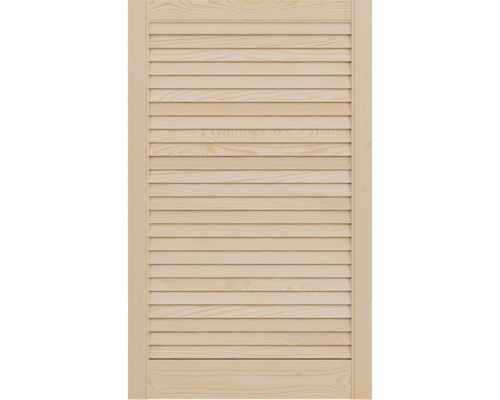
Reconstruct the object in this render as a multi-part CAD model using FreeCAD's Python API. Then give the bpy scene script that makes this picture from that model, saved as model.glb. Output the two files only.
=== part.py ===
"""Louvred cabinet door in raw pine: two stiles, two rails, fixed tilted slats and corner dowels.

Frame: +Z up, the front of the door faces -Y, and the origin is at the middle of the foot of the door.
Every piece is its own solid. The slats are housed in slots cut in the inner edges of the stiles. The top
slat stands steeper than the others and reaches into a groove under the top rail. The bottom rail stands up
behind the lowest slat. The rails butt against the stiles on glued dowels.
"""

import FreeCAD, Part
import math
import os
from collections import namedtuple

# Driving dimensions of the frame, in millimetres
DOOR_WIDTH = 440.0
DOOR_HEIGHT = 720.0
FRAME_THICKNESS = 21.0
STILE_WIDTH = 37.4
TOP_RAIL_HEIGHT = 41.0
BOTTOM_RAIL_HEIGHT = 70.0
STILE_FOOT = 1.2  # the stiles run this far below the bottom rail
ARRIS_RADIUS = 1.0  # sanded long edges of the frame
END_RADIUS = 0.8  # sanded edges of the stiles' sawn ends

# Moulding run along the inner front edge of the stiles and the top rail
STILE_BEAD_WIDTH = 4.5
TOP_RAIL_BEAD_WIDTH = 3.0
BEAD_RADIUS = 0.6  # eases both edges of the bead and the far edge of the quirk
QUIRK_WIDTH = 1.4  # the square groove beside the bead
QUIRK_DEPTH = 1.6

# Slats
SLAT_WIDTH = 30.0
SLAT_THICKNESS = 4.5
SLAT_EDGE_RADIUS = 1.5
SLAT_TILT = 25.0  # degrees from upright, the top leaning to the back
TOP_SLAT_TILT = 11.0
SLAT_TARGET_PITCH = 24.4  # the pitch used is the nearest one that fills the opening evenly
SLAT_SETBACK = 3.0  # from the front of the frame to the nose of a slat
BOTTOM_SLAT_GAP = 2.3  # from the bottom rail to the lowest slat
TOP_SLAT_TUCK = 8.5  # how far the top slat reaches up into the top rail
UPSTAND_OVERLAP = 4.0  # how far the bottom rail's back edge stands up behind the lowest slat
UPSTAND_THICKNESS = 5.0

# Housing slots for the slats
HOUSING_DEPTH = 8.0
HOUSING_END_GAP = 0.5  # between a slat's end and the bottom of its slot
GLUE_GAP = 0.1  # round a slat in its slot

# Corner dowels
DOWEL_DIAMETER = 8.0
DOWEL_LENGTH = 40.0
DOWEL_CHAMFER = 1.0
DOWEL_FLUTES = 10
DOWEL_FLUTE_RADIUS = 0.6
DOWEL_FLUTE_DEPTH = 0.4
DOWEL_FIT = 0.05  # radial clearance of a dowel in its hole
DOWEL_END_GAP = 1.0  # glue space at each end of a dowel
TOP_DOWEL_COVER = 4.0  # wood left beside a dowel hole in the top rail
BOTTOM_DOWEL_COVER = 10.0  # the same in the bottom rail

# Places that follow from the driving dimensions
FRONT = -FRAME_THICKNESS / 2
RAIL_LENGTH = DOOR_WIDTH - 2 * STILE_WIDTH
INNER_EDGE = RAIL_LENGTH / 2  # distance of a stile's inner edge from the middle of the door
BOTTOM_RAIL_TOP = STILE_FOOT + BOTTOM_RAIL_HEIGHT
TOP_RAIL_BOTTOM = DOOR_HEIGHT - TOP_RAIL_HEIGHT
ARC_MIDDLE = 1 - math.sqrt(0.5)  # a quarter arc's middle, as a share of its radius in from the corner

Seat = namedtuple("Seat", "y z tilt")  # the middle of a slat, and how far it leans


def tilted_reach(along_width, along_thickness):
    """Half the room that a slat takes, from the shares of its width and thickness that point that way."""
    half_width = SLAT_WIDTH / 2 - SLAT_EDGE_RADIUS
    half_thickness = SLAT_THICKNESS / 2 - SLAT_EDGE_RADIUS
    return half_width * along_width + half_thickness * along_thickness + SLAT_EDGE_RADIUS


def half_height(tilt):
    """Half a slat's height at a tilt in degrees."""
    lean = math.radians(tilt)
    return tilted_reach(math.cos(lean), math.sin(lean))


def half_depth(tilt):
    """Half a slat's depth at a tilt in degrees."""
    lean = math.radians(tilt)
    return tilted_reach(math.sin(lean), math.cos(lean))


LOWEST_NOSE_Z = BOTTOM_RAIL_TOP + BOTTOM_SLAT_GAP
HIGHEST_NOSE_Z = TOP_RAIL_BOTTOM + TOP_SLAT_TUCK - 2 * half_height(TOP_SLAT_TILT)
SLAT_STEPS = round((HIGHEST_NOSE_Z - LOWEST_NOSE_Z) / SLAT_TARGET_PITCH)
SLAT_PITCH = (HIGHEST_NOSE_Z - LOWEST_NOSE_Z) / SLAT_STEPS


def outline(start, *steps):
    """A closed face. A step is the end of a straight edge, or the (middle, end) points of an arc."""
    edges = []
    here = start
    for step in steps:
        if isinstance(step, tuple):
            middle, end = step
            edges.append(Part.Arc(here, middle, end).toShape())
        else:
            end = step
            edges.append(Part.LineSegment(here, end).toShape())
        here = end
    return Part.Face(Part.Wire(edges))


def moulded_section(width, bead_width, at):
    """Section of a frame member with the quirk and bead on its inner front edge.

    at(across, deep) places a point by its distances from the member's outer edge and from its front.
    """
    arris = ARRIS_RADIUS
    arris_middle = arris * ARC_MIDDLE
    ease = BEAD_RADIUS
    ease_middle = ease * ARC_MIDDLE
    bead_start = width - bead_width
    quirk_start = bead_start - QUIRK_WIDTH
    back = FRAME_THICKNESS
    return outline(
        at(0, arris),
        (at(arris_middle, arris_middle), at(arris, 0)),
        at(quirk_start - ease, 0),
        (at(quirk_start - ease_middle, ease_middle), at(quirk_start, ease)),
        at(quirk_start, QUIRK_DEPTH),
        at(bead_start, QUIRK_DEPTH),
        at(bead_start, ease),
        (at(bead_start + ease_middle, ease_middle), at(bead_start + ease, 0)),
        at(width - ease, 0),
        (at(width - ease_middle, ease_middle), at(width, ease)),
        at(width, back - arris),
        (at(width - arris_middle, back - arris_middle), at(width - arris, back)),
        at(arris, back),
        (at(arris_middle, back - arris_middle), at(0, back - arris)),
        at(0, arris),
    )


def rounded_section(width, thickness, radius, at):
    """Rectangle with rounded corners. at(across, deep) places a point measured from its middle."""
    w = width / 2
    t = thickness / 2
    r = radius
    m = radius * ARC_MIDDLE
    return outline(
        at(-w, r - t),
        (at(m - w, m - t), at(r - w, -t)),
        at(w - r, -t),
        (at(w - m, m - t), at(w, r - t)),
        at(w, t - r),
        (at(w - m, t - m), at(w - r, t)),
        at(r - w, t),
        (at(m - w, t - m), at(-w, t - r)),
        at(-w, r - t),
    )


def slat_bar(seat, x_start, x_end, grown=0.0):
    """A bar of the slat's tilted section from x_start to x_end, grown all round for a slot."""
    lean = math.radians(seat.tilt)

    def at(across, deep):
        y = seat.y + across * math.sin(lean) + deep * math.cos(lean)
        z = seat.z + across * math.cos(lean) - deep * math.sin(lean)
        return FreeCAD.Vector(x_start, y, z)

    section = rounded_section(
        SLAT_WIDTH + 2 * grown, SLAT_THICKNESS + 2 * grown, SLAT_EDGE_RADIUS + grown, at
    )
    return section.extrude(FreeCAD.Vector(x_end - x_start, 0, 0))


def slat_seat(nose_z, tilt):
    """Where a slat sits with its nose at a height, and as far back as the noses of all the slats."""
    return Seat(FRONT + SLAT_SETBACK + half_depth(tilt), nose_z + half_height(tilt), tilt)


def slat_seats():
    """The seats of the slats, from the top one down."""
    seats = [slat_seat(HIGHEST_NOSE_Z, TOP_SLAT_TILT)]
    for step in range(1, SLAT_STEPS + 1):
        seats.append(slat_seat(HIGHEST_NOSE_Z - step * SLAT_PITCH, SLAT_TILT))
    return seats


def slat(seat):
    """One slat, long enough to sit in the slots of both stiles."""
    half_length = INNER_EDGE + HOUSING_DEPTH - HOUSING_END_GAP
    return slat_bar(seat, -half_length, half_length)


def dowel_heights():
    """Heights of the dowels: two above the groove in the top rail, and two in the bottom rail."""
    radius = DOWEL_DIAMETER / 2
    groove_top = TOP_RAIL_BOTTOM + TOP_SLAT_TUCK + GLUE_GAP
    top_inset = TOP_DOWEL_COVER + radius
    bottom_inset = BOTTOM_DOWEL_COVER + radius
    return [
        DOOR_HEIGHT - top_inset,
        groove_top + top_inset,
        BOTTOM_RAIL_TOP - bottom_inset,
        STILE_FOOT + bottom_inset,
    ]


def dowel_places():
    """Middle points of all dowels, on the joint lines of both stiles."""
    return [FreeCAD.Vector(side * INNER_EDGE, 0, z) for z in dowel_heights() for side in (-1, 1)]


def dowel(place):
    """One fluted dowel along X with chamfered ends."""
    radius = DOWEL_DIAMETER / 2
    start = place - FreeCAD.Vector(DOWEL_LENGTH / 2, 0, 0)
    along = FreeCAD.Vector(1, 0, 0)
    peg = Part.makeCylinder(radius, DOWEL_LENGTH, start, along)
    rims = [e for e in peg.Edges if isinstance(e.Curve, Part.Circle)]
    peg = peg.makeChamfer(DOWEL_CHAMFER, rims)
    flute_ring = radius + DOWEL_FLUTE_RADIUS - DOWEL_FLUTE_DEPTH
    flutes = []
    for number in range(DOWEL_FLUTES):
        turn = 2 * math.pi * number / DOWEL_FLUTES
        offset = FreeCAD.Vector(0, flute_ring * math.cos(turn), flute_ring * math.sin(turn))
        flutes.append(Part.makeCylinder(DOWEL_FLUTE_RADIUS, DOWEL_LENGTH, start + offset, along))
    return peg.cut(flutes)


def dowel_holes():
    """The holes for all dowels, each drilled through the joint line into both members."""
    radius = DOWEL_DIAMETER / 2 + DOWEL_FIT
    half_length = DOWEL_LENGTH / 2 + DOWEL_END_GAP
    along = FreeCAD.Vector(1, 0, 0)
    return [
        Part.makeCylinder(radius, 2 * half_length, place - half_length * along, along)
        for place in dowel_places()
    ]


def sanded_ends():
    """The left stile's envelope, with the outer, front and back edges of both its ends rounded over."""
    corner = FreeCAD.Vector(-DOOR_WIDTH / 2, FRONT, 0)
    block = Part.makeBox(STILE_WIDTH, FRAME_THICKNESS, DOOR_HEIGHT, corner)
    end_edges = []
    for edge in block.Edges:
        first, last = edge.Vertexes
        level = math.isclose(first.Z, last.Z)
        beside_rail = math.isclose(first.X, -INNER_EDGE) and math.isclose(last.X, -INNER_EDGE)
        if level and not beside_rail:
            end_edges.append(edge)
    return block.makeFillet(END_RADIUS, end_edges)


def left_stile():
    """Left upright with its moulding, a slot for every slat and its dowel holes."""

    def at(across, deep):
        return FreeCAD.Vector(-DOOR_WIDTH / 2 + across, FRONT + deep, 0)

    blank = moulded_section(STILE_WIDTH, STILE_BEAD_WIDTH, at).extrude(FreeCAD.Vector(0, 0, DOOR_HEIGHT))
    blank = blank.common(sanded_ends())
    slot_end = INNER_EDGE + HOUSING_DEPTH
    slots = [slat_bar(seat, -slot_end, -INNER_EDGE, GLUE_GAP) for seat in slat_seats()]
    return blank.cut(slots + dowel_holes())


def right_stile():
    """Right upright, the mirror image of the left one."""
    return left_stile().mirror(FreeCAD.Vector(0, 0, 0), FreeCAD.Vector(1, 0, 0))


def top_rail():
    """Top rail with the moulding on its lower edge and the groove that takes the top slat."""

    def at(across, deep):
        return FreeCAD.Vector(-INNER_EDGE, FRONT + deep, DOOR_HEIGHT - across)

    section = moulded_section(TOP_RAIL_HEIGHT, TOP_RAIL_BEAD_WIDTH, at)
    blank = section.extrude(FreeCAD.Vector(RAIL_LENGTH, 0, 0))
    groove = slat_bar(slat_seats()[0], -INNER_EDGE, INNER_EDGE, GLUE_GAP)
    return blank.cut([groove] + dowel_holes())


def bottom_rail():
    """Bottom rail with sanded edges: a ledge in front, and an upstand behind the lowest slat."""
    arris = ARRIS_RADIUS
    middle = arris * ARC_MIDDLE
    foot = STILE_FOOT
    back = FRAME_THICKNESS
    ledge = BOTTOM_RAIL_TOP
    upstand = back - UPSTAND_THICKNESS
    top = LOWEST_NOSE_Z + UPSTAND_OVERLAP

    def at(deep, z):
        return FreeCAD.Vector(-INNER_EDGE, FRONT + deep, z)

    section = outline(
        at(0, foot + arris),
        (at(middle, foot + middle), at(arris, foot)),
        at(back - arris, foot),
        (at(back - middle, foot + middle), at(back, foot + arris)),
        at(back, top - arris),
        (at(back - middle, top - middle), at(back - arris, top)),
        at(upstand, top),
        at(upstand, ledge),
        at(arris, ledge),
        (at(middle, ledge - middle), at(0, ledge - arris)),
        at(0, foot + arris),
    )
    return section.extrude(FreeCAD.Vector(RAIL_LENGTH, 0, 0)).cut(dowel_holes())


def all_parts():
    """Every node's name and shape."""
    parts = {
        "left_stile": left_stile(),
        "right_stile": right_stile(),
        "top_rail": top_rail(),
        "bottom_rail": bottom_rail(),
        "corner_dowels": Part.makeCompound([dowel(place) for place in dowel_places()]),
    }
    for number, seat in enumerate(slat_seats(), start=1):
        parts[f"slat_{number:02d}"] = slat(seat)
    return parts


os.makedirs("parts", exist_ok=True)
for name, shape in all_parts().items():
    shape.exportStep(f"parts/{name}.step")
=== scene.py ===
"""Dresses the louvred pine cabinet door and lights it as a plain studio picture, seen square on."""

import math
from collections import namedtuple

import bpy
from mathutils import Color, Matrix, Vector


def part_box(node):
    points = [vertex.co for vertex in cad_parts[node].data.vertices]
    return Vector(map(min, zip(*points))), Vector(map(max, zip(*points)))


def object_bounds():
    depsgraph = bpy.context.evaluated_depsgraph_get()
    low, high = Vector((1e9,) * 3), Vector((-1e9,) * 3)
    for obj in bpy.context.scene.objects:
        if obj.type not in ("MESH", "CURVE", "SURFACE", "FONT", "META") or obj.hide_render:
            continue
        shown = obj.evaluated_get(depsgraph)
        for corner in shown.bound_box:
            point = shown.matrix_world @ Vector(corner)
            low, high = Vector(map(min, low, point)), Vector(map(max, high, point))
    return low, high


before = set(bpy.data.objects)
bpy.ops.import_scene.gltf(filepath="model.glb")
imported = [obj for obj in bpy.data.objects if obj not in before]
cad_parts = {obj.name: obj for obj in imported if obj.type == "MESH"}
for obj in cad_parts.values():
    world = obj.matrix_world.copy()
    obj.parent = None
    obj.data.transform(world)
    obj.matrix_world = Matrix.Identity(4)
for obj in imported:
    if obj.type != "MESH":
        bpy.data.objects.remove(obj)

CAD_LOW, CAD_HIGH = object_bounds()
MM = 0.001

# The picture, and where the door stands in it
IMAGE_WIDTH = 500
IMAGE_HEIGHT = 400
DOOR_TOP_ROW = -0.3
DOOR_FOOT_ROW = 399.6
CAMERA_DISTANCE = 6.0  # from the front of the door
SENSOR_WIDTH = 36.0  # millimetres

# Sizes of the solids, in millimetres and degrees
SLAT_TILT = 25.0
TOP_SLAT_TILT = 11.0
SLAT_WIDTH = 30.0
SLAT_THICKNESS = 4.5
RAIL_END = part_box("right_stile")[0].x / MM  # from the middle of the door to the shoulders of the rails

# Light: each lamp gives the side of the door that it faces a share of the light. With the world, the front's
# add up to about 1. The lamps behind the door stand low, so that no light falls through between the slats.
Lamp = namedtuple("Lamp", "name azimuth elevation size share")
LAMPS = [
    Lamp("key", 28.0, 10.0, 0.6, 0.26),
    Lamp("fill", -26.0, 8.0, 0.6, 0.18),
    Lamp("front", 0.0, 20.0, 1.6, 0.15),
    Lamp("back_right", 150.0, 4.0, 0.6, 0.16),
    Lamp("back_left", -155.0, 4.0, 0.6, 0.11),
]
LAMP_DISTANCE = 8.0
WORLD_SHARE = 0.40
WORLD_TINT = (1.0, 0.96, 0.88)  # the room's light is a little warm, and the lamps are cooler to match
FLOOR_HALF_WIDTH = 6.0
FLOOR_GREY = 0.68
FLOOR_LIFT = 0.7  # brings the unshaded floor up to the white of the background
WHITE = (1.0, 1.0, 1.0, 1.0)
FULL_LEVEL = 255


def srgb(red, green, blue):
    """A colour as a screen shows it, 0 to 255, as the linear colour that a shader takes."""
    shown = Color((red / FULL_LEVEL, green / FULL_LEVEL, blue / FULL_LEVEL))
    return (*shown.from_srgb_to_scene_linear(), 1.0)


# Colours of raw pine: the early wood by board, then the late wood and the marks, painted shade among them
PALE = srgb(215, 201, 185)
PINK = srgb(214, 197.5, 179)
CREAM = srgb(215, 198, 178)
ROSE = srgb(213, 194, 173)
STONE = srgb(211, 194, 172)
TAN = srgb(210, 191, 170)
PEACH = srgb(211, 187, 162)
OAT = srgb(210, 191, 168)
WHEAT = srgb(208, 188, 165)
STRAW = srgb(205, 183, 160)
AMBER = srgb(212, 178, 130)
STAIN = srgb(207, 175, 133)
HONEY = srgb(214, 182, 122)
RUST = srgb(206, 166, 128)
BROWN = srgb(187, 160, 127)
# pale wood for worn edges, also used for painted highlights
WEAR_AND_HIGHLIGHT = srgb(243, 219, 187)
END_GRAIN = srgb(190, 160, 124)
KNOT = srgb(150, 128, 104)
# a brown that paints shade into gaps, grooves and joints and under the slats
SHADE_BROWN = srgb(122, 90, 54)
BEECH = srgb(205, 168, 128)

# A board's figure, in millimetres from its middle. The rings are shells round a pith line that lies across
# and deep from the middle of the board, and goes deeper by run for each millimetre along the grain. A swell
# pushes the pith deeper by height, at a place along and across. Resin is how amber the late wood is, and
# sway how far the rings wander. A mark is a stain, a knot or the like in the board, or a line or patch
# of painted shade or painted highlight.
Figure = namedtuple("Figure", "tone spacing across deep run contrast resin sway swells marks")
Swell = namedtuple("Swell", "along across length width height")
Mark = namedtuple("Mark", "along across length width tone strength")
ANYWHERE = 1000.0  # length or width of a thing that runs right through the board
CREVICE_ACROSS = 11.5  # where a slat goes in under the slat above
CREVICE_WIDTH = 4.0
ARRIS_ACROSS = -15.2  # the lower edge of a slat
ARRIS_WIDTH = 0.9
SEAM_LENGTH = 0.7
QUARTER_PITH = (-90.0, 20.0)  # across and deep from the middle of a quarter sawn board
RIFT_PITH_ACROSS = -55.0
PALE_RESIN = 0.4
FULL_SWAY = 1.0


def hump(along, length, height):
    """A swell that runs all across the board."""
    return Swell(along, 0.0, length, ANYWHERE, height)


def stain(along, across, length, width, strength=0.6):
    """A patch of resin."""
    return Mark(along, across, length, width, STAIN, strength)


def veil(along, length, tone, strength=0.7):
    """A stretch of board in another tone, which hides the rings as far as it is strong."""
    return Mark(along, 0.0, length, ANYWHERE, tone, strength)


def line(across, width, tone, strength):
    """A line of another tone all along the board."""
    return Mark(0.0, across, ANYWHERE, width, tone, strength)


def pin_knot(along, across, length=2.0, width=1.2, strength=0.45):
    """A small dark fleck."""
    return Mark(along, across, length, width, KNOT, strength)


def crevice_shade(strength):
    """Painted shade along the top of a slat, under the slat above."""
    return line(CREVICE_ACROSS, CREVICE_WIDTH, SHADE_BROWN, strength)


def painted_highlight_line(across, width, strength):
    """A painted highlight: a pale line all along the board."""
    return line(across, width, WEAR_AND_HIGHLIGHT, strength)


def joint_shade(along, strength):
    """Painted shade: a dark line in the joint at the end of a rail."""
    return Mark(along, 0.0, SEAM_LENGTH, ANYWHERE, SHADE_BROWN, strength)


def quiet(tone, spacing=1.6, run=-0.01, contrast=0.5, swells=(), marks=()):
    """Quarter sawn board: fine, nearly straight lines."""
    return Figure(tone, spacing, *QUARTER_PITH, run, contrast, PALE_RESIN, FULL_SWAY, swells, marks)


def rift(tone, spacing, run, swells=(), deep=45.0, contrast=1.2, marks=()):
    """Board with clear lines that climb or fall along it."""
    return Figure(tone, spacing, RIFT_PITH_ACROSS, deep, run, contrast, PALE_RESIN, FULL_SWAY, swells, marks)


def flat(
    tone, spacing, across, run=0.0, swells=(), deep=58.0, contrast=1.0, resin=1.0, sway=FULL_SWAY, marks=()
):
    """Flat sawn board with arches and broad amber bands."""
    return Figure(tone, spacing, across, deep, run, contrast, resin, sway, swells, marks)


# The slats from the top down. Marks of painted shade under the slat above darken some shadow lines more.
SLAT_FIGURES = [
    quiet(STONE, spacing=2.4, contrast=1.4,
          marks=[line(-3.5, 4, PALE, 0.3), line(-10.4, 2.2, HONEY, 0.08)]),
    rift(CREAM, 4.8, -0.078, [hump(215, 55, -60)], contrast=1.5,
         marks=[veil(10, 120, BROWN, 0.08), veil(180, 30, PALE, 0.4)]),
    flat(PALE, 5.0, -34, swells=[hump(-17, 78, -8), hump(-24, 15, -3)], contrast=0.66,
         marks=[stain(0, -13, 14, 2), stain(65, -13, 16, 2)]),
    quiet(PINK, spacing=1.3, marks=[veil(-70, 80, AMBER, 0.08), crevice_shade(0.3)]),
    quiet(PINK, spacing=1.7, run=0.01),
    flat(PALE, 3.6, -24, -0.05, [hump(-230, 110, 14)], contrast=0.58,
         marks=[stain(-48, -10, 16, 4, 0.45), stain(60, -12, 30, 3), stain(112, -5, 14, 2.5),
                stain(167, -10, 18, 4)]),
    quiet(PEACH, spacing=1.4, contrast=0.7, marks=[crevice_shade(0.1)]),
    quiet(CREAM, spacing=2.2, run=0.02),
    flat(CREAM, 1.7, 5, swells=[hump(86, 110, -34)], deep=69.2, contrast=0.95,
         marks=[veil(-130, 60, ROSE), stain(-139, 6, 9, 4), stain(-145, -10, 14, 3), stain(6, -2, 6, 10),
                crevice_shade(0.1)]),
    flat(CREAM, 3.2, -14, swells=[hump(-135, 55, -10), hump(-108, 20, -8), hump(45, 130, 8)], deep=46.0,
         contrast=0.9,
         marks=[veil(0, 75, AMBER, 0.08), stain(-72, -2, 7, 14, 0.8), stain(-168, -11, 8, 3),
                stain(0, 6.5, 75, 3, 0.5), stain(70, -11, 12, 3), stain(105, -2, 12, 4),
                stain(130, -7, 11, 4, 0.75), crevice_shade(0.1)]),
    quiet(TAN, spacing=2.4, run=0.02, contrast=1.6, marks=[crevice_shade(0.35)]),
    rift(PALE, 4.4, -0.03, [hump(260, 130, -40)], deep=74.0, contrast=1.05,
         marks=[veil(-90, 65, BROWN, 0.07)]),
    rift(PALE, 4.4, 0.0, [hump(-250, 110, -50)], contrast=1.15,
         marks=[veil(-70, 120, BROWN, 0.08), stain(-172, 0, 26, 14, 0.25), stain(-165, -9, 28, 4, 0.35),
                stain(30, -13, 150, 2)]),
    quiet(CREAM, spacing=2.8, contrast=1.1,
          marks=[veil(160, 75, BROWN, 0.15), stain(150, -1, 45, 3.5, 0.4), stain(50, 0, 45, 2.5, 0.25),
                 stain(-150, -6, 40, 5, 0.2)]),
    rift(ROSE, 3.0, -0.04, contrast=1.3),
    rift(CREAM, 3.0, 0.0, [hump(-50, 75, -36)]),
    quiet(ROSE, spacing=1.5, marks=[veil(-10, 100, AMBER, 0.1)]),
    rift(PINK, 3.4, 0.01, [hump(-230, 75, -34)], contrast=1.0, marks=[veil(90, 130, PINK, 0.5)]),
    rift(PINK, 3.4, 0.015, [hump(-235, 75, -34)], contrast=1.15, marks=[veil(90, 130, PINK, 0.5)]),
    flat(PALE, 1.4, -14, -0.2, [hump(-190, 150, -34), hump(50, 35, -5)], contrast=0.8,
         marks=[veil(-125, 120, TAN, 0.9), veil(-60, 150, AMBER, 0.07), Mark(-143, 3, 14, 4, RUST, 0.6),
                stain(-36, -3, 9, 10, 0.65), stain(-4, 0, 5, 9, 0.4)]),
    quiet(PALE, spacing=2.1, run=0.03, contrast=0.7),
    flat(PALE, 7.0, -55, -0.2, deep=50.0, contrast=0.9,
         marks=[crevice_shade(0.1), veil(-180, 65, RUST, 0.2), veil(130, 90, PALE, 0.45),
                Mark(14, 7.5, 24, 3, RUST, 0.8), stain(-78, 7, 10, 2)]),
    quiet(CREAM, spacing=2.4, contrast=2.5, marks=[crevice_shade(0.3)]),
    rift(ROSE, 3.1, 0.01, [hump(200, 90, 60)], contrast=2.2,
         marks=[veil(-90, 150, ROSE), veil(175, 120, RUST, 0.18), crevice_shade(0.2)]),
    rift(CREAM, 4.0, 0.0, [hump(60, 150, 14)], contrast=0.85,
         # the pale line above the nose is a painted highlight
         marks=[stain(-178, -11, 14, 4), painted_highlight_line(-14.1, 0.8, 0.7)]),
]
TOP_RAIL_FIGURE = flat(
    OAT, 2.2, 20, deep=42.0, contrast=1.9, resin=0.6,
    swells=[hump(30, 90, -5), hump(6, 28, -5), hump(-146, 40, 4), hump(95, 35, 1.5)],
    marks=[
        stain(-177, 18, 9, 5), stain(-112, 18, 9, 4.5), stain(-66, 18, 11, 5), stain(6, 18, 27, 6.5, 0.8),
        stain(0, 3.5, 17, 2), stain(50, 17.5, 12, 5), stain(77, 15.5, 11, 6), stain(132, 17.5, 7.5, 6),
        # the dark line at the right end of this row is painted shade in the joint
        stain(147, 14, 8, 4, 0.3), stain(165, 9, 14, 2.5, 0.5), joint_shade(RAIL_END, 0.75),
        line(-18.3, 2.2, HONEY, 0.14),  # the bead
        # painted shade in the quirk
        line(-16.8, 0.8, SHADE_BROWN, 0.09),  # the quirk beside it
    ],
)
BOTTOM_RAIL_FIGURE = flat(
    OAT, 2.5, -7.6, contrast=1.2, resin=0.75, sway=0.25,
    swells=[hump(230, 52, -9), hump(-230, 45, -4), Swell(125, -30, 50, 14, 4), Swell(-185, -24, 16, 9, -4)],
    marks=[
        stain(-165, -5, 36, 8, 0.4), stain(-125, -9, 34, 7, 0.4), stain(-84, -12, 26, 7, 0.5),
        stain(-56, -10, 20, 6, 0.4), stain(-32, -12, 18, 6, 0.5), stain(161, -4.5, 5, 3, 0.4),
        # the pale line near the top edge is a painted highlight on the arris
        pin_knot(88, 6, 5, 4, 0.2), painted_highlight_line(31.4, 0.9, 0.9),
        # painted shade on the upstand, seen through the gap under the lowest slat
        line(35.5, 3.0, SHADE_BROWN, 0.95),  # the gap under the lowest slat
        # a dark line of painted shade in the joint at the right end
        joint_shade(RAIL_END, 0.75),
    ],
)
LEFT_STILE_FIGURE = quiet(
    STRAW, spacing=3.2, run=0.004, contrast=1.2,
    marks=[
        veil(370, 180, PALE, 0.15), veil(0, 150, HONEY, 0.07),
        # pale lines of painted light beside and in the quirk and on the inner edge of the bead
        painted_highlight_line(-11.6, 1.2, 0.28), painted_highlight_line(-13.6, 1.2, 0.3), painted_highlight_line(-18.2, 0.8, 0.55),
    ],
)
RIGHT_STILE_FIGURE = quiet(
    WHEAT, spacing=2.8, run=-0.004, contrast=1.2,
    marks=[
        veil(370, 240, PALE, 0.15), veil(-362, 45, AMBER, 0.4),
        line(16.5, 4.5, HONEY, 0.12),  # the bead
        pin_knot(98.6, -14.6, 5.2, 4.2, 0.35), pin_knot(18, 7.4, 0.8, 3, 0.65),
        pin_knot(17, -2.4, 0.9, 3.5, 0.6),
    ],
)
DOWEL_FIGURE = quiet(BEECH, spacing=0.9, contrast=0.3)

# Marks that all slats but the top one have, and the lowest slat's own arris
SLAT_WARM_SHADE_AND_TONE = [  # painted warm shade under the slat above and by the right stile, warmer wood by the nose
    line(CREVICE_ACROSS, 5, HONEY, 0.48),
    veil(RAIL_END, 5, HONEY, 0.2),
    line(-12.6, 1.4, HONEY, 0.1),
]
# a painted highlight along the lower edge of each slat
SLAT_ARRIS_HIGHLIGHT = painted_highlight_line(ARRIS_ACROSS, ARRIS_WIDTH, 0.7)
# painted shade on the lowest slat's lower edge, in the gap above the bottom rail
LOWEST_ARRIS_SHADE = line(ARRIS_ACROSS, ARRIS_WIDTH, SHADE_BROWN, 0.4)  # in the gap above the bottom rail
SLAT_END_PAINTED_LIGHT = [  # painted light on the slat ends, which the stiles shade
    veil(RAIL_END, 5, WEAR_AND_HIGHLIGHT, 0.2),
    veil(-RAIL_END, 4, WEAR_AND_HIGHLIGHT, 0.12),
]
SLAT_PAINTED_SHADE = [  # painted shade under the slat above, darker at its right end and at the nose's right end
    line(10, 2.2, SHADE_BROWN, 0.27),
    Mark(RAIL_END, 10, 5, 2.4, SHADE_BROWN, 0.95),
    Mark(RAIL_END, -15, 4, 1, SHADE_BROWN, 0.5),
]

# Noise in the wood: how long a wave is along, through and across the grain, in millimetres
SWAY = (140.0, 110.0, 110.0)
RIPPLE = (40.0, 14.0, 14.0)
FIBRE = (33.0, 1.1, 1.1)
DUCT = (14.0, 0.9, 0.9)
DRIFT = (110.0, 28.0, 28.0)
HUE_DRIFT = (70.0, 6.0, 6.0)
MARK_EDGE = (34.0, 4.0, 4.0)
FINE_DETAIL = 3.0
PLAIN_DETAIL = 1.0
SEED_STEP = (3.7, 1.3, 2.1)  # how far apart two seeds lie in the noise

# Growth rings: how far they wander in millimetres, how uneven the years are, and the late wood over one year
SWAY_ACROSS = 5.0
SWAY_DEEP = 7.0
RIPPLE_HEIGHT = 2.0
UNEVEN_PACE = 0.45  # waves of unevenness for each year
UNEVEN_YEARS = 1.6
LUCK = (0.6, 0.4)  # strength of a year's late wood: what chance adds, and what every year has
DRIFT_STRENGTH = (1.2, 0.4)  # the same for the slow drift of the wood
AMBER_SEASON = [(0.0, 0.0), (0.4, 0.05), (0.85, 0.75), (0.94, 1.0), (1.0, 0.0)]
BROWN_SEASON = [(0.0, 0.0), (0.7, 0.0), (0.92, 1.0), (1.0, 0.0)]

# Colour of the wood: shares of the tones, and the levels between which noise brings them in
HUE_LEVELS = (0.3, 0.7)
PINKER = (0.995, 0.98, 1.065, 1.0)  # the early wood is multiplied by this, the next or what lies between
YELLOWER = (0.99, 1.01, 0.94, 1.0)
DRIFT_LEVELS = (0.45, 0.75)
DRIFT_SHARE = 0.16
BROWN_SHARE = 0.85
FIBRE_DEPTH = 0.16  # share of the colour that the streaks take and give
DUCT_LEVELS = (0.64, 0.74)
DUCT_SHARE = 0.22
MARK_LEVELS = (1.4, 0.3)  # in lengths and widths of the mark: where it starts, and where it is full
RAGGED = 2.4
END_ON_LEVELS = (0.5, 0.95)
END_GRAIN_SHARE = 0.55
# The pale edges are partly sanding wear and partly a painted highlight on the arrises.
EDGE_BAND_WIDTH = 2.2
EDGE_BAND_LEVELS = (0.1, 0.6)
SLAT_WEAR_AND_HIGHLIGHT = 0.45
FRAME_WEAR_AND_HIGHLIGHT = 0.25

# Surface of the wood
ROUGHNESS = 0.56
FIBRE_ROUGHNESS = 0.16
LATE_WOOD_ROUGHNESS = -0.08
LATE_WOOD_RELIEF = 0.5
FIBRE_RELIEF = 0.5
RELIEF_STRENGTH = 0.25
RELIEF_HEIGHT = 0.15  # millimetres
SPECULAR = 0.3

# Each board takes its noise from a seed of its own. These are the first stile's, the first rail's, the one
# that a slat's number is added to, and the dowels'.
STILE_SEED = 11
RAIL_SEED = 21
SLAT_SEED = 31
DOWEL_SEED = 61

# Turns of the boards
GRAIN_ALONG_X = (0.0, 0.0, 0.0)
GRAIN_UP_Z = (0.0, math.radians(-90), 0.0)


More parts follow.
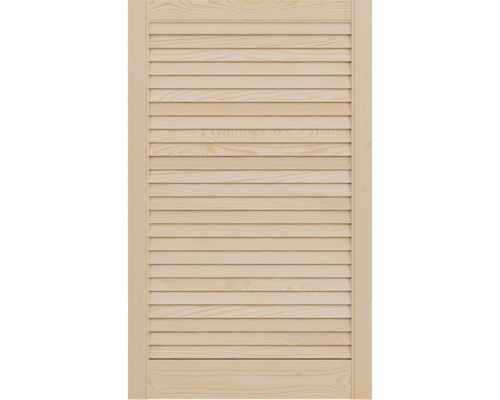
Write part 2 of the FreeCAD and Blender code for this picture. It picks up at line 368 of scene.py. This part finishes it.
class Tree:
    """Adds nodes to a shader tree. An input that is a socket is linked, and any other value is set."""

    MIX_SOCKETS = (0, 6, 7)  # share, first and second colour of a mix node
    MIX_RESULT = 2

    def __init__(self, material):
        material.use_nodes = True
        self.tree = material.node_tree
        self.tree.nodes.clear()

    def add(self, kind, inputs, **settings):
        """A node with its inputs by name or number, and its settings."""
        node = self.tree.nodes.new(kind)
        for name, value in settings.items():
            setattr(node, name, value)
        for key, value in inputs.items():
            if isinstance(value, bpy.types.NodeSocket):
                self.tree.links.new(value, node.inputs[key])
            else:
                node.inputs[key].default_value = value
        return node

    def math(self, operation, *values):
        """The result of one operation on numbers."""
        return self.add("ShaderNodeMath", dict(enumerate(values)), operation=operation).outputs[0]

    def split(self, vector):
        """The three parts of a vector."""
        return self.add("ShaderNodeSeparateXYZ", {0: vector}).outputs

    def noise(self, place, wave, seed, detail=2.0):
        """Noise of a given length of wave, as its level and as three levels of their own."""
        scale = tuple(1 / (length * MM) for length in wave)
        shift = tuple(seed * step for step in SEED_STEP)
        inputs = {0: place, 1: scale, 2: shift}
        scaled = self.add("ShaderNodeVectorMath", inputs, operation="MULTIPLY_ADD").outputs[0]
        node = self.add("ShaderNodeTexNoise", {"Vector": scaled, "Scale": 1.0, "Detail": detail})
        return node.outputs["Fac"], node.outputs["Color"]

    def between(self, value, low, high):
        """How far value has gone from low to high, 0 to 1, with soft ends."""
        inputs = {"Value": value, "From Min": low, "From Max": high}
        node = self.add("ShaderNodeMapRange", inputs, interpolation_type="SMOOTHSTEP")
        return node.outputs["Result"]

    def mix(self, share, first, second, blend="MIX"):
        """The first colour with a share of the second in it."""
        inputs = dict(zip(self.MIX_SOCKETS, (share, first, second)))
        node = self.add("ShaderNodeMix", inputs, data_type="RGBA", blend_type=blend)
        return node.outputs[self.MIX_RESULT]

    def curve(self, value, stops):
        """A grey level that follows the stops, pairs of place and level."""
        node = self.add("ShaderNodeValToRGB", {0: value})
        ramp = node.color_ramp
        ramp.interpolation = "EASE"
        while len(ramp.elements) < len(stops):
            ramp.elements.new(1.0)
        for element, (place, level) in zip(ramp.elements, stops):
            element.position = place
            element.color = (level, level, level, 1.0)
        return node.outputs[0]

    def apart(self, x, z, spot):
        """Squared distance from a swell or mark, counted in its own length and width."""
        along = self.math("MULTIPLY_ADD", x, 1 / (spot.length * MM), -spot.along / spot.length)
        side = self.math("MULTIPLY_ADD", z, 1 / (spot.width * MM), -spot.across / spot.width)
        return self.math("MULTIPLY_ADD", side, side, self.math("MULTIPLY", along, along))


def board_coordinates(tree, middle, turn):
    """Place in the board, in metres: X along the grain, Y through it from the front, Z across it."""
    coordinates = tree.add("ShaderNodeTexCoord", {})
    inputs = {"Vector": coordinates.outputs["Object"], "Location": middle, "Rotation": turn}
    place = tree.add("ShaderNodeMapping", inputs, vector_type="TEXTURE").outputs[0]
    inputs = {"Vector": coordinates.outputs["Normal"], "Rotation": turn}
    normal = tree.add("ShaderNodeMapping", inputs, vector_type="TEXTURE").outputs[0]
    return place, normal


def ring_distance(tree, figure, place, seed):
    """Distance from the pith in metres, with the wander and the swells of a grown tree."""
    x, y, z = tree.split(place)
    sway_across, sway_deep, _ = tree.split(tree.noise(place, SWAY, seed)[1])
    wander = SWAY_ACROSS * figure.sway
    across = tree.math("SUBTRACT", z, (figure.across + wander / 2) * MM)
    across = tree.math("MULTIPLY_ADD", sway_across, wander * MM, across)
    wander = SWAY_DEEP * figure.sway
    deep = tree.math("MULTIPLY_ADD", x, figure.run, y)
    deep = tree.math("ADD", deep, (figure.deep - wander / 2) * MM)
    deep = tree.math("MULTIPLY_ADD", sway_deep, wander * MM, deep)
    for swell in figure.swells:
        fall = tree.math("EXPONENT", tree.math("MULTIPLY", tree.apart(x, z, swell), -1.0))
        deep = tree.math("MULTIPLY_ADD", fall, swell.height * MM, deep)
    squared = tree.math("MULTIPLY_ADD", deep, deep, tree.math("MULTIPLY", across, across))
    ripple, _ = tree.noise(place, RIPPLE, seed)
    return tree.math("MULTIPLY_ADD", ripple, RIPPLE_HEIGHT * MM, tree.math("SQRT", squared))


def growth_rings(tree, figure, distance, drift, seed):
    """Amber and brown late wood, each 0 to 1: it builds up slowly over a year's ring and ends sharply."""
    years = tree.math("DIVIDE", distance, figure.spacing * MM)
    waves = tree.math("MULTIPLY", years, UNEVEN_PACE)
    waves = tree.add("ShaderNodeCombineXYZ", {0: waves, 1: seed}).outputs[0]
    uneven = tree.add("ShaderNodeTexNoise", {"Vector": waves, "Scale": 1.0}).outputs["Fac"]
    years = tree.math("MULTIPLY_ADD", uneven, UNEVEN_YEARS, years)
    season = tree.math("FRACT", years)
    year_number = tree.math("ADD", tree.math("FLOOR", years), seed)
    luck = tree.add("ShaderNodeTexWhiteNoise", {"W": year_number}, noise_dimensions="1D").outputs["Value"]
    strength = tree.math("MULTIPLY", tree.math("MULTIPLY_ADD", luck, *LUCK), figure.contrast)
    strength = tree.math("MULTIPLY", strength, tree.math("MULTIPLY_ADD", drift, *DRIFT_STRENGTH))
    amber = tree.curve(season, AMBER_SEASON)
    brown = tree.curve(season, BROWN_SEASON)
    return tree.math("MULTIPLY", amber, strength), tree.math("MULTIPLY", brown, strength)


def marked(tree, color, figure, place, seed):
    """The colour with the figure's stains and knots in it, their edges drawn out along the grain."""
    x, _, z = tree.split(place)
    ragged, _ = tree.noise(place, MARK_EDGE, seed, FINE_DETAIL)
    edge = tree.math("MULTIPLY_ADD", ragged, RAGGED, -RAGGED / 2)
    for mark in figure.marks:
        reach = tree.math("SQRT", tree.apart(x, z, mark))
        reach = tree.math("ADD", reach, edge)
        share = tree.math("MULTIPLY", tree.between(reach, *MARK_LEVELS), mark.strength)
        color = tree.mix(share, color, mark.tone)
    return color


def early_wood(tree, figure, place, drift, seed):
    """The board's tone, which drifts between pink, yellow and amber."""
    hue, _ = tree.noise(place, HUE_DRIFT, seed, FINE_DETAIL)
    tint = tree.mix(tree.between(hue, *HUE_LEVELS), PINKER, YELLOWER)
    color = tree.mix(1.0, figure.tone, tint, blend="MULTIPLY")
    share = tree.math("MULTIPLY", tree.between(drift, *DRIFT_LEVELS), DRIFT_SHARE)
    return tree.mix(share, color, AMBER)


def late_wood(tree, color, figure, amber, brown):
    """The colour with the late wood of the rings in it."""
    color = tree.mix(tree.math("MULTIPLY", amber, figure.resin), color, AMBER)
    return tree.mix(tree.math("MULTIPLY", brown, BROWN_SHARE), color, BROWN)


def streaked(tree, color, place, fibre, seed):
    """The colour with the fine streaks of the fibres and the brown dashes of the resin ducts in it."""
    streak = tree.math("MULTIPLY_ADD", fibre, FIBRE_DEPTH, 1.0 - FIBRE_DEPTH / 2)
    grey = tree.add("ShaderNodeCombineColor", {0: streak, 1: streak, 2: streak}).outputs[0]
    color = tree.mix(1.0, color, grey, blend="MULTIPLY")
    duct, _ = tree.noise(place, DUCT, seed, PLAIN_DETAIL)
    share = tree.math("MULTIPLY", tree.between(duct, *DUCT_LEVELS), DUCT_SHARE)
    return tree.mix(share, color, BROWN)


def cut_across(tree, color, normal):
    """The colour, darker where the board is cut across the grain."""
    end_on = tree.math("ABSOLUTE", tree.split(normal)[0])
    share = tree.math("MULTIPLY", tree.between(end_on, *END_ON_LEVELS), END_GRAIN_SHARE)
    return tree.mix(share, color, END_GRAIN)


def worn_and_highlit(tree, color, place, drift, half_size, wear_and_highlight_share):
    """The colour, paler along the edges: partly sanding wear, partly a painted highlight on the arrises."""
    _, y, z = tree.split(place)
    half_width, half_thickness = half_size
    by_side = tree.between(tree.math("ABSOLUTE", z), half_width - EDGE_BAND_WIDTH * MM, half_width)
    by_face = tree.between(tree.math("ABSOLUTE", y), half_thickness - EDGE_BAND_WIDTH * MM, half_thickness)
    wear_and_highlight = tree.math("MULTIPLY", tree.math("MULTIPLY", by_side, by_face), tree.between(drift, *EDGE_BAND_LEVELS))
    return tree.mix(tree.math("MULTIPLY", wear_and_highlight, wear_and_highlight_share), color, WEAR_AND_HIGHLIGHT)


def pine(name, figure, middle, half_size, turn, wear_and_highlight_share, seed):
    """Raw pine for one board, smoothed with sandpaper, its half size given across and through the grain."""
    material = bpy.data.materials.new(name)
    tree = Tree(material)
    place, normal = board_coordinates(tree, middle, turn)
    fibre, _ = tree.noise(place, FIBRE, seed, FINE_DETAIL)
    drift, _ = tree.noise(place, DRIFT, seed, FINE_DETAIL)
    distance = ring_distance(tree, figure, place, seed)
    amber, brown = growth_rings(tree, figure, distance, drift, seed)

    color = early_wood(tree, figure, place, drift, seed)
    color = late_wood(tree, color, figure, amber, brown)
    color = marked(tree, color, figure, place, seed)
    color = streaked(tree, color, place, fibre, seed)
    color = cut_across(tree, color, normal)
    color = worn_and_highlit(tree, color, place, drift, half_size, wear_and_highlight_share)

    roughness = tree.math("MULTIPLY_ADD", fibre, FIBRE_ROUGHNESS, ROUGHNESS)
    roughness = tree.math("MULTIPLY_ADD", amber, LATE_WOOD_ROUGHNESS, roughness)
    relief = tree.math("MULTIPLY", fibre, FIBRE_RELIEF)
    relief = tree.math("MULTIPLY_ADD", amber, LATE_WOOD_RELIEF, relief)
    inputs = {"Height": relief, "Strength": RELIEF_STRENGTH, "Distance": RELIEF_HEIGHT * MM}
    bump = tree.add("ShaderNodeBump", inputs).outputs[0]
    inputs = {"Base Color": color, "Roughness": roughness, "Normal": bump, "Specular IOR Level": SPECULAR}
    shader = tree.add("ShaderNodeBsdfPrincipled", inputs)
    tree.add("ShaderNodeOutputMaterial", {"Surface": shader.outputs[0]})
    return material


def dress(node, figure, turn, seed, half_size=None, wear_and_highlight_share=FRAME_WEAR_AND_HIGHLIGHT):
    """Gives a CAD node its own pine, with its figure measured from the middle of the node's box."""
    low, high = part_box(node)
    half = (high - low) / 2
    if half_size is None:
        half_size = (half.z, half.y)
    material = pine(node, figure, (low + high) / 2, half_size, turn, wear_and_highlight_share, seed)
    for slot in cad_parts[node].material_slots:
        slot.link = "OBJECT"
        slot.material = material


def dress_stiles():
    """Upright boards: they are as wide as their box is along X."""
    stiles = {"left_stile": LEFT_STILE_FIGURE, "right_stile": RIGHT_STILE_FIGURE}
    for seed, (node, figure) in enumerate(stiles.items(), start=STILE_SEED):
        low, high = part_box(node)
        half = (high - low) / 2
        dress(node, figure, GRAIN_UP_Z, seed, (half.x, half.y))


def dress_rails():
    """Level boards."""
    rails = {"top_rail": TOP_RAIL_FIGURE, "bottom_rail": BOTTOM_RAIL_FIGURE}
    for seed, (node, figure) in enumerate(rails.items(), start=RAIL_SEED):
        dress(node, figure, GRAIN_ALONG_X, seed)


def dress_slats():
    """Leaning boards: their grain runs along X, and each has its own figure."""
    half_size = (SLAT_WIDTH / 2 * MM, SLAT_THICKNESS / 2 * MM)
    for number, figure in enumerate(SLAT_FIGURES, start=1):
        tilt = TOP_SLAT_TILT
        if number > 1:
            tilt = SLAT_TILT
            arris = LOWEST_ARRIS_SHADE if number == len(SLAT_FIGURES) else SLAT_ARRIS_HIGHLIGHT
            figure = figure._replace(marks=[*figure.marks, *SLAT_WARM_SHADE_AND_TONE, arris, *SLAT_END_PAINTED_LIGHT, *SLAT_PAINTED_SHADE])
        turn = (math.radians(-tilt), 0.0, 0.0)
        dress(f"slat_{number:02d}", figure, turn, SLAT_SEED + number, half_size, SLAT_WEAR_AND_HIGHLIGHT)


def dress_dowels():
    """The hidden dowels: beech, fine and even."""
    dress("corner_dowels", DOWEL_FIGURE, GRAIN_ALONG_X, DOWEL_SEED)


def direction(azimuth, elevation):
    """Unit vector from the door towards a place, in degrees right of the camera and above the horizon."""
    side = math.radians(azimuth)
    up = math.radians(elevation)
    return Vector((math.sin(side) * math.cos(up), -math.cos(side) * math.cos(up), math.sin(up)))


def hang_lamp(lamp):
    """A square soft box that gives the side of the door that it faces its share of the light."""
    towards = direction(lamp.azimuth, lamp.elevation)
    light = bpy.data.lights.new(lamp.name, "AREA")
    light.size = lamp.size
    # White paper that faces a lamp gives back energy / (pi * distance) ** 2, and the door faces it aslant
    light.energy = lamp.share * (math.pi * LAMP_DISTANCE) ** 2 / abs(towards.y)
    light.color = [(1 - WORLD_SHARE * tint) / (1 - WORLD_SHARE) for tint in WORLD_TINT]
    holder = bpy.data.objects.new(lamp.name, light)
    holder.location = (CAD_LOW + CAD_HIGH) / 2 + towards * LAMP_DISTANCE
    holder.rotation_mode = "QUATERNION"
    holder.rotation_quaternion = towards.to_track_quat("Z", "Y")
    bpy.context.scene.collection.objects.link(holder)


def seen_directly(tree):
    """1 for rays that show the background itself, in the camera, in gloss or through glass."""
    rays = tree.add("ShaderNodeLightPath", {}).outputs
    shown = tree.math("MAXIMUM", rays["Is Camera Ray"], rays["Is Glossy Ray"])
    return tree.math("MAXIMUM", shown, rays["Is Transmission Ray"])


def white_world():
    """White to look at, and a dimmer, slightly warm light on the door."""
    world = bpy.data.worlds.new("studio")
    bpy.context.scene.world = world
    tree = Tree(world)
    shown = seen_directly(tree)
    color = tree.mix(shown, (*WORLD_TINT, 1.0), WHITE)
    strength = tree.math("MULTIPLY_ADD", shown, 1.0 - WORLD_SHARE, WORLD_SHARE)
    background = tree.add("ShaderNodeBackground", {"Color": color, "Strength": strength})
    tree.add("ShaderNodeOutputWorld", {"Surface": background.outputs[0]})


def pale_floor():
    """A wide pale floor under the door, lifted to white where no shadow falls."""
    half = FLOOR_HALF_WIDTH
    mesh = bpy.data.meshes.new("floor")
    corners = [(-half, -half, 0), (half, -half, 0), (half, half, 0), (-half, half, 0)]
    mesh.from_pydata(corners, [], [(0, 1, 2, 3)])
    floor = bpy.data.objects.new("floor", mesh)
    bpy.context.scene.collection.objects.link(floor)
    material = bpy.data.materials.new("pale_floor")
    tree = Tree(material)
    matt = tree.add("ShaderNodeBsdfDiffuse", {"Color": (FLOOR_GREY, FLOOR_GREY, FLOOR_GREY, 1.0)})
    lift = tree.math("MULTIPLY", seen_directly(tree), FLOOR_LIFT)
    glow = tree.add("ShaderNodeEmission", {"Color": WHITE, "Strength": lift})
    both = tree.add("ShaderNodeAddShader", {0: matt.outputs[0], 1: glow.outputs[0]})
    tree.add("ShaderNodeOutputMaterial", {"Surface": both.outputs[0]})
    mesh.materials.append(material)


def place_camera():
    """Square on, with the door's top and foot on their rows of the picture."""
    metres_per_row = (CAD_HIGH.z - CAD_LOW.z) / (DOOR_FOOT_ROW - DOOR_TOP_ROW)
    view = bpy.data.cameras.new("camera")
    view.sensor_width = SENSOR_WIDTH
    view.lens = SENSOR_WIDTH * CAMERA_DISTANCE / (IMAGE_WIDTH * metres_per_row)
    holder = bpy.data.objects.new("camera", view)
    middle_z = CAD_HIGH.z - (IMAGE_HEIGHT / 2 - DOOR_TOP_ROW) * metres_per_row
    holder.location = (0.0, CAD_LOW.y - CAMERA_DISTANCE, middle_z)
    holder.rotation_euler = (math.radians(90), 0.0, 0.0)
    bpy.context.scene.collection.objects.link(holder)
    bpy.context.scene.camera = holder


dress_stiles()
dress_rails()
dress_slats()
dress_dowels()
for lamp in LAMPS:
    hang_lamp(lamp)
white_world()
pale_floor()
place_camera()
bpy.context.scene.view_settings.view_transform = "Standard"
